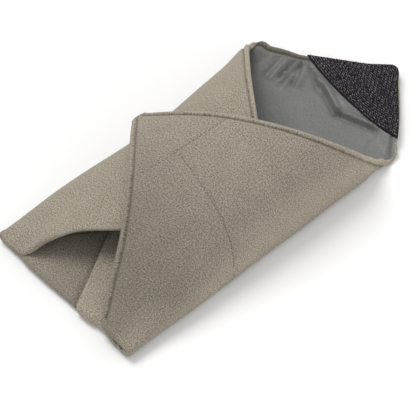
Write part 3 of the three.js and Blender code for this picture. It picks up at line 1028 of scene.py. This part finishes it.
def along_path(points, pitch):
    """Places at even steps along a path, with the path's direction there."""
    steps = np.linalg.norm(np.diff(points, axis=0), axis=1)
    travelled = np.concatenate([[0], np.cumsum(steps)])
    marks = np.arange(pitch / 2, travelled[-1], pitch)

    def at(run):
        return np.stack([np.interp(run, travelled, points[:, k]) for k in range(3)], axis=1)

    return at(marks), unit(at(marks + STITCH_LOOK) - at(marks - STITCH_LOOK))


def nearest(points, paths, values):
    """The value that goes with the closest point of a path."""
    return np.stack([values[np.argmin(((paths - point) ** 2).sum(axis=1))] for point in points])


def add_stitches(name, seams, material):
    """Stitches along seams, each seam a path of points and the outward direction at each of them."""
    points, uv = [], []
    for path, outward in seams:
        place, along = along_path(path, STITCH_PITCH)
        out = nearest(place, path, outward)
        across = np.cross(along, out)
        for spot, ahead, up, beside in zip(place, along, out, across):
            for share in STITCH_RINGS:
                thick = STITCH_RADIUS * math.sqrt(max(STITCH_END, 1 - share**4))
                lift = STITCH_RADIUS * (STITCH_LIFT - STITCH_DIP * share**2)
                middle = spot + ahead * share * STITCH_LENGTH / 2 + up * lift
                for k in range(STITCH_SIDES):
                    angle = 2 * math.pi * k / STITCH_SIDES
                    points.append(middle + thick * (math.cos(angle) * up + math.sin(angle) * beside))
                    uv.append((share * STITCH_LENGTH / 2, thick * angle))
    count = len(points) // (len(STITCH_RINGS) * STITCH_SIDES)
    faces = turned(tube_faces(count, len(STITCH_RINGS), STITCH_SIDES), 1)
    return add_mesh(f"{name}_stitches", np.array(points), faces, material, np.array(uv))


def rim_seams(cloth, layers):
    """The seam in the groove of the rolled edge, on the outer face and on the lining's side."""
    outer = cloth.bands[OUTER_STATIONS.index(SEAM_STATION) + 1]
    inner = cloth.bands[-1]
    keep = [k for k, v in enumerate(outer) if cloth.fold_end[v] < FOLDED]
    outer, inner = [outer[k] for k in keep], [inner[k] for k in keep]
    return [(layers.skin[outer], -layers.normal[outer]), (layers.skin[inner], layers.normal[inner])]


def drawn_seam(name, start, end):
    """A straight seam on the flat cloth, on its outer face."""
    share = np.linspace(0, 1, int(math.dist(start, end) / STEP) + 2)[:, None]
    flat = np.array(start) + (np.array(end) - np.array(start)) * share
    normal = inward(corners[name], flat)
    return outer_face(corners[name], flat) + normal * dents(name, flat)[:, None], -normal


# Materials

def linear(red, green, blue):
    """A colour written as it looks on a screen, from 0 to 255."""
    tones = (red / 255, green / 255, blue / 255)
    return tuple(((t + 0.055) / 1.055) ** 2.4 if t > 0.04045 else t / 12.92 for t in tones)


class Look:
    """A material or a world, with short ways to add the nodes that are used here."""

    def __init__(self, name, kind=bpy.data.materials):
        self.owner = kind.new(name)
        self.owner.use_nodes = True
        self.nodes = self.owner.node_tree.nodes
        self.links = self.owner.node_tree.links

    def put(self, node, values):
        """Sets a node's inputs, or links them to the outputs of others."""
        for key, value in values.items():
            if isinstance(value, bpy.types.NodeSocket):
                self.links.new(value, node.inputs[key])
            else:
                node.inputs[key].default_value = value
        return node

    def add(self, kind, **values):
        return self.put(self.nodes.new(kind), values)

    def finish(self, values):
        self.put(self.nodes["Principled BSDF"], values)
        return self.owner

    def place(self, along=1, across=1):
        """Places on the unfolded cloth, in millimetres times a scale."""
        uv = self.add("ShaderNodeUVMap")
        uv.uv_map = "cloth"
        scale = (1000 * along, 1000 * across, 1000)
        return self.add("ShaderNodeMapping", Scale=scale, Vector=uv.outputs["UV"]).outputs["Vector"]

    def noise(self, place, scale, detail, roughness=0.55):
        values = {"Scale": scale, "Detail": detail, "Roughness": roughness, "Vector": place}
        return self.add("ShaderNodeTexNoise", **values).outputs["Fac"]

    def ramp(self, value, *stops):
        element = self.add("ShaderNodeValToRGB", Fac=value)
        for stop, (at, colour) in zip(element.color_ramp.elements, stops):
            stop.position = at
            stop.color = (*colour, 1)
        return element.outputs["Color"]

    def mix(self, kind, share, first, second):
        element = self.nodes.new("ShaderNodeMix")
        element.data_type = "RGBA"
        element.blend_type = kind
        return self.put(element, {"Factor": share, "A": first, "B": second}).outputs["Result"]

    def times(self, first, *others):
        for other in others:
            first = self.mix("MULTIPLY", 1, first, other)
        return first

    def bump(self, height, strength, distance, **under):
        values = {"Strength": strength, "Distance": distance * MM, "Height": height, **under}
        return self.add("ShaderNodeBump", **values).outputs["Normal"]


def fleece_material():
    look = Look("fleece")
    place = look.place()
    loops = look.noise(place, 1.15, 3, 0.62)
    fibres = look.noise(place, 3.4, 2)
    patches = look.noise(place, 0.09, 3)
    tone = look.ramp(loops, (0.34, linear(121, 113, 101)), (0.66, linear(208, 200, 183)))
    fine = look.ramp(fibres, (0.3, (0.74, 0.73, 0.72)), (0.7, WHITE))
    broad = look.ramp(patches, (0.35, (0.93, 0.92, 0.91)), (0.65, WHITE))
    # The tone attribute multiplies in the fleece's painted light and shade, and its darker edges near the
    # mouth
    painted_light_and_edges = look.add("ShaderNodeAttribute")
    painted_light_and_edges.attribute_name = "tone"
    nap = look.bump(loops, 0.6, 0.55)
    return look.finish({
        "Base Color": look.times(tone, fine, broad, painted_light_and_edges.outputs["Fac"]),
        "Normal": look.bump(fibres, 0.5, 0.2, Normal=nap),
        "Roughness": 0.95, "Specular IOR Level": 0.12,
        "Sheen Weight": 0.35, "Sheen Roughness": 0.5, "Sheen Tint": (*linear(190, 180, 165), 1),
    })


def lining_material():
    look = Look("lining")
    place = look.place()
    warp = look.noise(look.place(3.4, 0.5), 1, 1)
    weft = look.noise(look.place(0.5, 3.4), 1, 1)
    weave = look.mix("ADD", 0.5, warp, weft)
    tone = look.ramp(weave, (0.45, linear(102, 102, 100)), (0.95, linear(128, 128, 125)))
    broad = look.ramp(look.noise(place, 0.07, 4), (0.35, (0.9, 0.9, 0.89)), (0.65, WHITE))
    threads = look.bump(weave, 0.35, 0.12)
    return look.finish({
        "Base Color": look.times(tone, broad),
        "Normal": look.bump(look.noise(place, 0.35, 3), 0.4, 0.8, Normal=threads),
        "Roughness": 0.47, "Specular IOR Level": 0.4, "Sheen Weight": 0.1,
    })


def tape_material(name, dark, light, roughness):
    look = Look(name)
    place = look.place()
    return look.finish({
        "Base Color": look.ramp(look.noise(place, 1.1, 3, 0.7), (0.36, dark), (0.68, light)),
        "Normal": look.bump(look.noise(place, 2.2, 2), 0.6, 0.2),
        "Roughness": roughness, "Specular IOR Level": 0.35,
    })


def thread_material():
    look = Look("thread")
    twist = look.add("ShaderNodeTexWave", Scale=1.2, Vector=look.place())
    twist.bands_direction = "DIAGONAL"
    strands = twist.outputs["Fac"]
    return look.finish({
        "Base Color": look.ramp(strands, (0.2, linear(104, 96, 84)), (0.8, linear(150, 142, 126))),
        "Normal": look.bump(strands, 0.4, 0.06),
        "Roughness": 0.7, "Specular IOR Level": 0.25,
    })


fleece = fleece_material()
lining = lining_material()
tape = tape_material("hook_tape", linear(15, 12, 15), linear(34, 29, 34), 0.8)
# The hooks are dark nylon; the pale end of their colour is painted glint
hook = tape_material("hooks", linear(18, 14, 18), linear(190, 176, 188), 0.45)
thread = thread_material()

# What each corner's pieces stand for, and its drawn seams
stands_for = {"north": ["base", "north"], "east": ["east"], "west": ["west"], "south": ["south"]}
seams = {
    "east": [((98, -33), (98, 24)), ((96, -11), (8, -23))],
    "west": [((101, -16), (101, 25)), ((99, 2), (8, 2))],
}


def follow(piece):
    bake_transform(piece)


for name in corners:
    cloth = flat_cloth(corners[name])
    layers = cloth_layers(name, cloth)

    def nodes_of(*parts):
        return [f"{body}_{part}" for body in stands_for[name] for part in parts]

    outside = add_fleece(name, cloth, layers, fleece)
    inside = add_lining(name, cloth, layers, lining)
    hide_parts(*nodes_of("fleece", "foam"), f"{name}_welt")
    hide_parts(*nodes_of("lining"))
    pad = add_tape(name, tape)
    hooks = add_hooks(name, hook)
    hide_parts(f"{name}_hook_tape")
    sewn = rim_seams(cloth, layers) + [drawn_seam(name, *ends) for ends in seams.get(name, [])]
    stitches = add_stitches(name, sewn, thread)
    for piece in (outside, inside, stitches):
        follow(piece)
    for piece in (pad, hooks):
        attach(piece, name)


# Floor, light and camera

def add_floor():
    look = Look("floor")
    rays = look.add("ShaderNodeLightPath").outputs["Is Camera Ray"]
    lift = look.add("ShaderNodeMath")
    lift.operation = "MULTIPLY"
    look.put(lift, {0: rays, 1: FLOOR_LIFT})
    material = look.finish({
        "Base Color": (FLOOR_TONE, FLOOR_TONE, FLOOR_TONE, 1), "Roughness": 0.9, "Specular IOR Level": 0.0,
        "Emission Color": (*WHITE, 1), "Emission Strength": lift.outputs["Value"],
    })
    half = FLOOR_SIZE / 2
    mesh = bpy.data.meshes.new("floor")
    corner_points = [(x * half, y * half, FLOOR_Z) for x, y in ((-1, -1), (1, -1), (1, 1), (-1, 1))]
    mesh.from_pydata(corner_points, [], [(0, 1, 2, 3)])
    mesh.materials.append(material)
    floor = add_object("floor", mesh)


def add_light():
    look = Look("studio", bpy.data.worlds)
    bpy.context.scene.world = look.owner
    rays = look.add("ShaderNodeLightPath").outputs["Is Camera Ray"]
    level = look.add("ShaderNodeMapRange", **{"Value": rays, "To Min": SKY_STRENGTH, "To Max": 1})
    look.put(look.nodes["Background"], {"Color": (*WHITE, 1), "Strength": level.outputs["Result"]})
    for name, (strength, softness, direction) in LIGHTS.items():
        lamp = bpy.data.lights.new(name, "SUN")
        lamp.energy = strength
        lamp.angle = math.radians(softness)
        light = add_object(name, lamp)
        light.rotation_euler = direction.to_track_quat("Z", "Y").to_euler()


def add_camera():
    data = bpy.data.cameras.new("view")
    data.sensor_width = SENSOR
    data.lens = SENSOR * VIEW_DISTANCE / VIEW_WIDTH
    data.clip_end = VIEW_END
    camera = add_object("view", data)
    direction = VIEW_FROM.normalized()
    camera.location = VIEW_TARGET + direction * VIEW_DISTANCE
    camera.rotation_euler = direction.to_track_quat("Z", "Y").to_euler()
    bpy.context.scene.camera = camera


add_floor()
add_light()
add_camera()
bpy.context.scene.view_settings.view_transform = "Standard"
